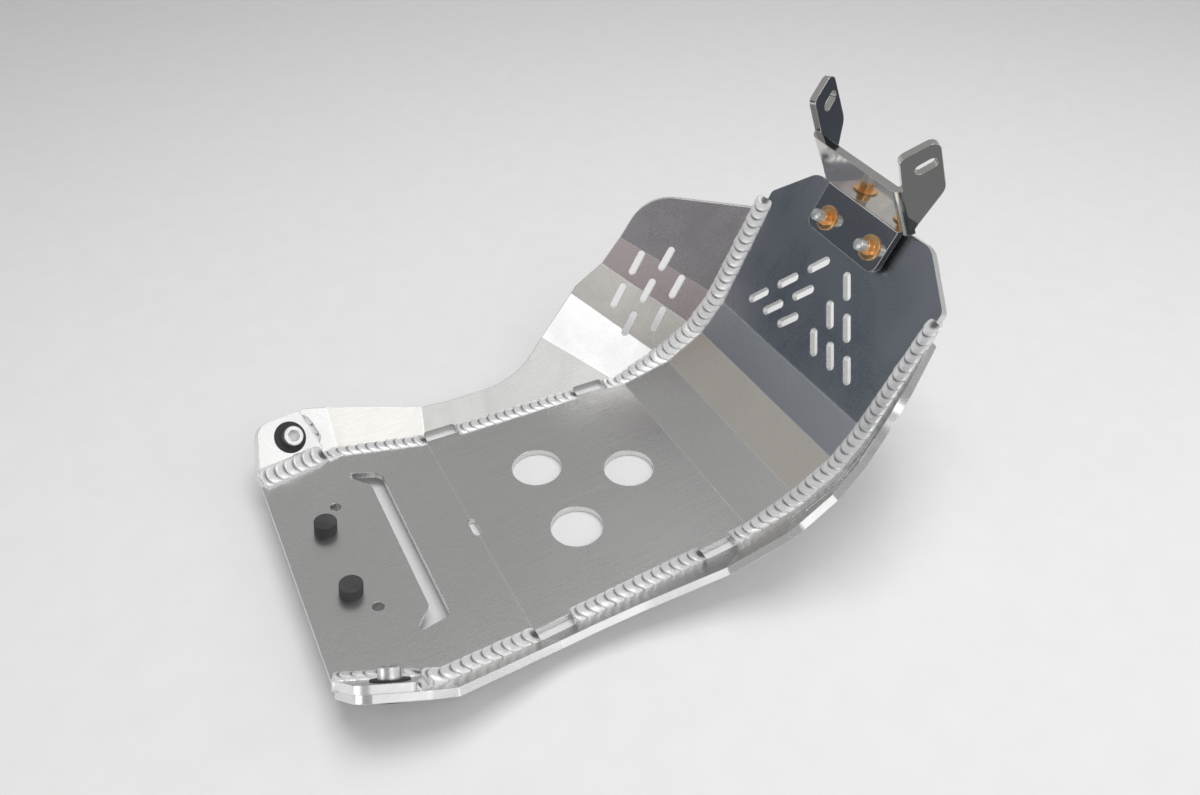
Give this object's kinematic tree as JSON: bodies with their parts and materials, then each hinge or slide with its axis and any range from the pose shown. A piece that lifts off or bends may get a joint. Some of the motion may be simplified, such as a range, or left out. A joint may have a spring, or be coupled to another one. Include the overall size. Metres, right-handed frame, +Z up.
{
  "type": "motorcycle skid plate",
  "caption": "Welded aluminium motorcycle skid plate with folded base, side wings, vented front plate, rubber-bushed rear bosses and a bolted front bracket.",
  "frame": {"origin": "underside of the middle flat, on the centre plane, halfway between its two bends", "axes": "+X forward to the front plate, +Y to the left, +Z up out of the bowl"},
  "size_m": [0.4421, 0.3009, 0.2458],
  "materials": {
    "sheet_aluminium": "brushed",
    "weld": "bright rippled",
    "rubber": "matt",
    "steel": "satin",
    "zinc_yellow": "yellow zinc plated"
  },
  "bodies": {
    "root": {"base_plate": "sheet_aluminium", "boss_plate_left": "sheet_aluminium", "boss_plate_right": "sheet_aluminium", "bracket_bolt_left": "steel", "bracket_bolt_right": "steel", "bracket_nut_left": "zinc_yellow", "bracket_nut_right": "zinc_yellow", "bracket_spacer_left": "rubber", "bracket_spacer_right": "rubber", "buffer_left": "rubber", "buffer_right": "rubber", "buffer_screw_left": "steel", "buffer_screw_right": "steel", "front_bracket": "sheet_aluminium", "grommet_left": "rubber", "grommet_right": "rubber", "sleeve_left": "steel", "sleeve_right": "steel", "weld_boss_base_left": "weld", "weld_boss_base_right": "weld", "weld_boss_front_left": "weld", "weld_boss_front_right": "weld", "weld_front_left": "weld", "weld_front_right": "weld", "weld_middle_left": "weld", "weld_middle_right": "weld", "weld_tab_left": "weld", "weld_tab_right": "weld", "wing_left": "sheet_aluminium", "wing_right": "sheet_aluminium"}
  },
  "joints": []
}
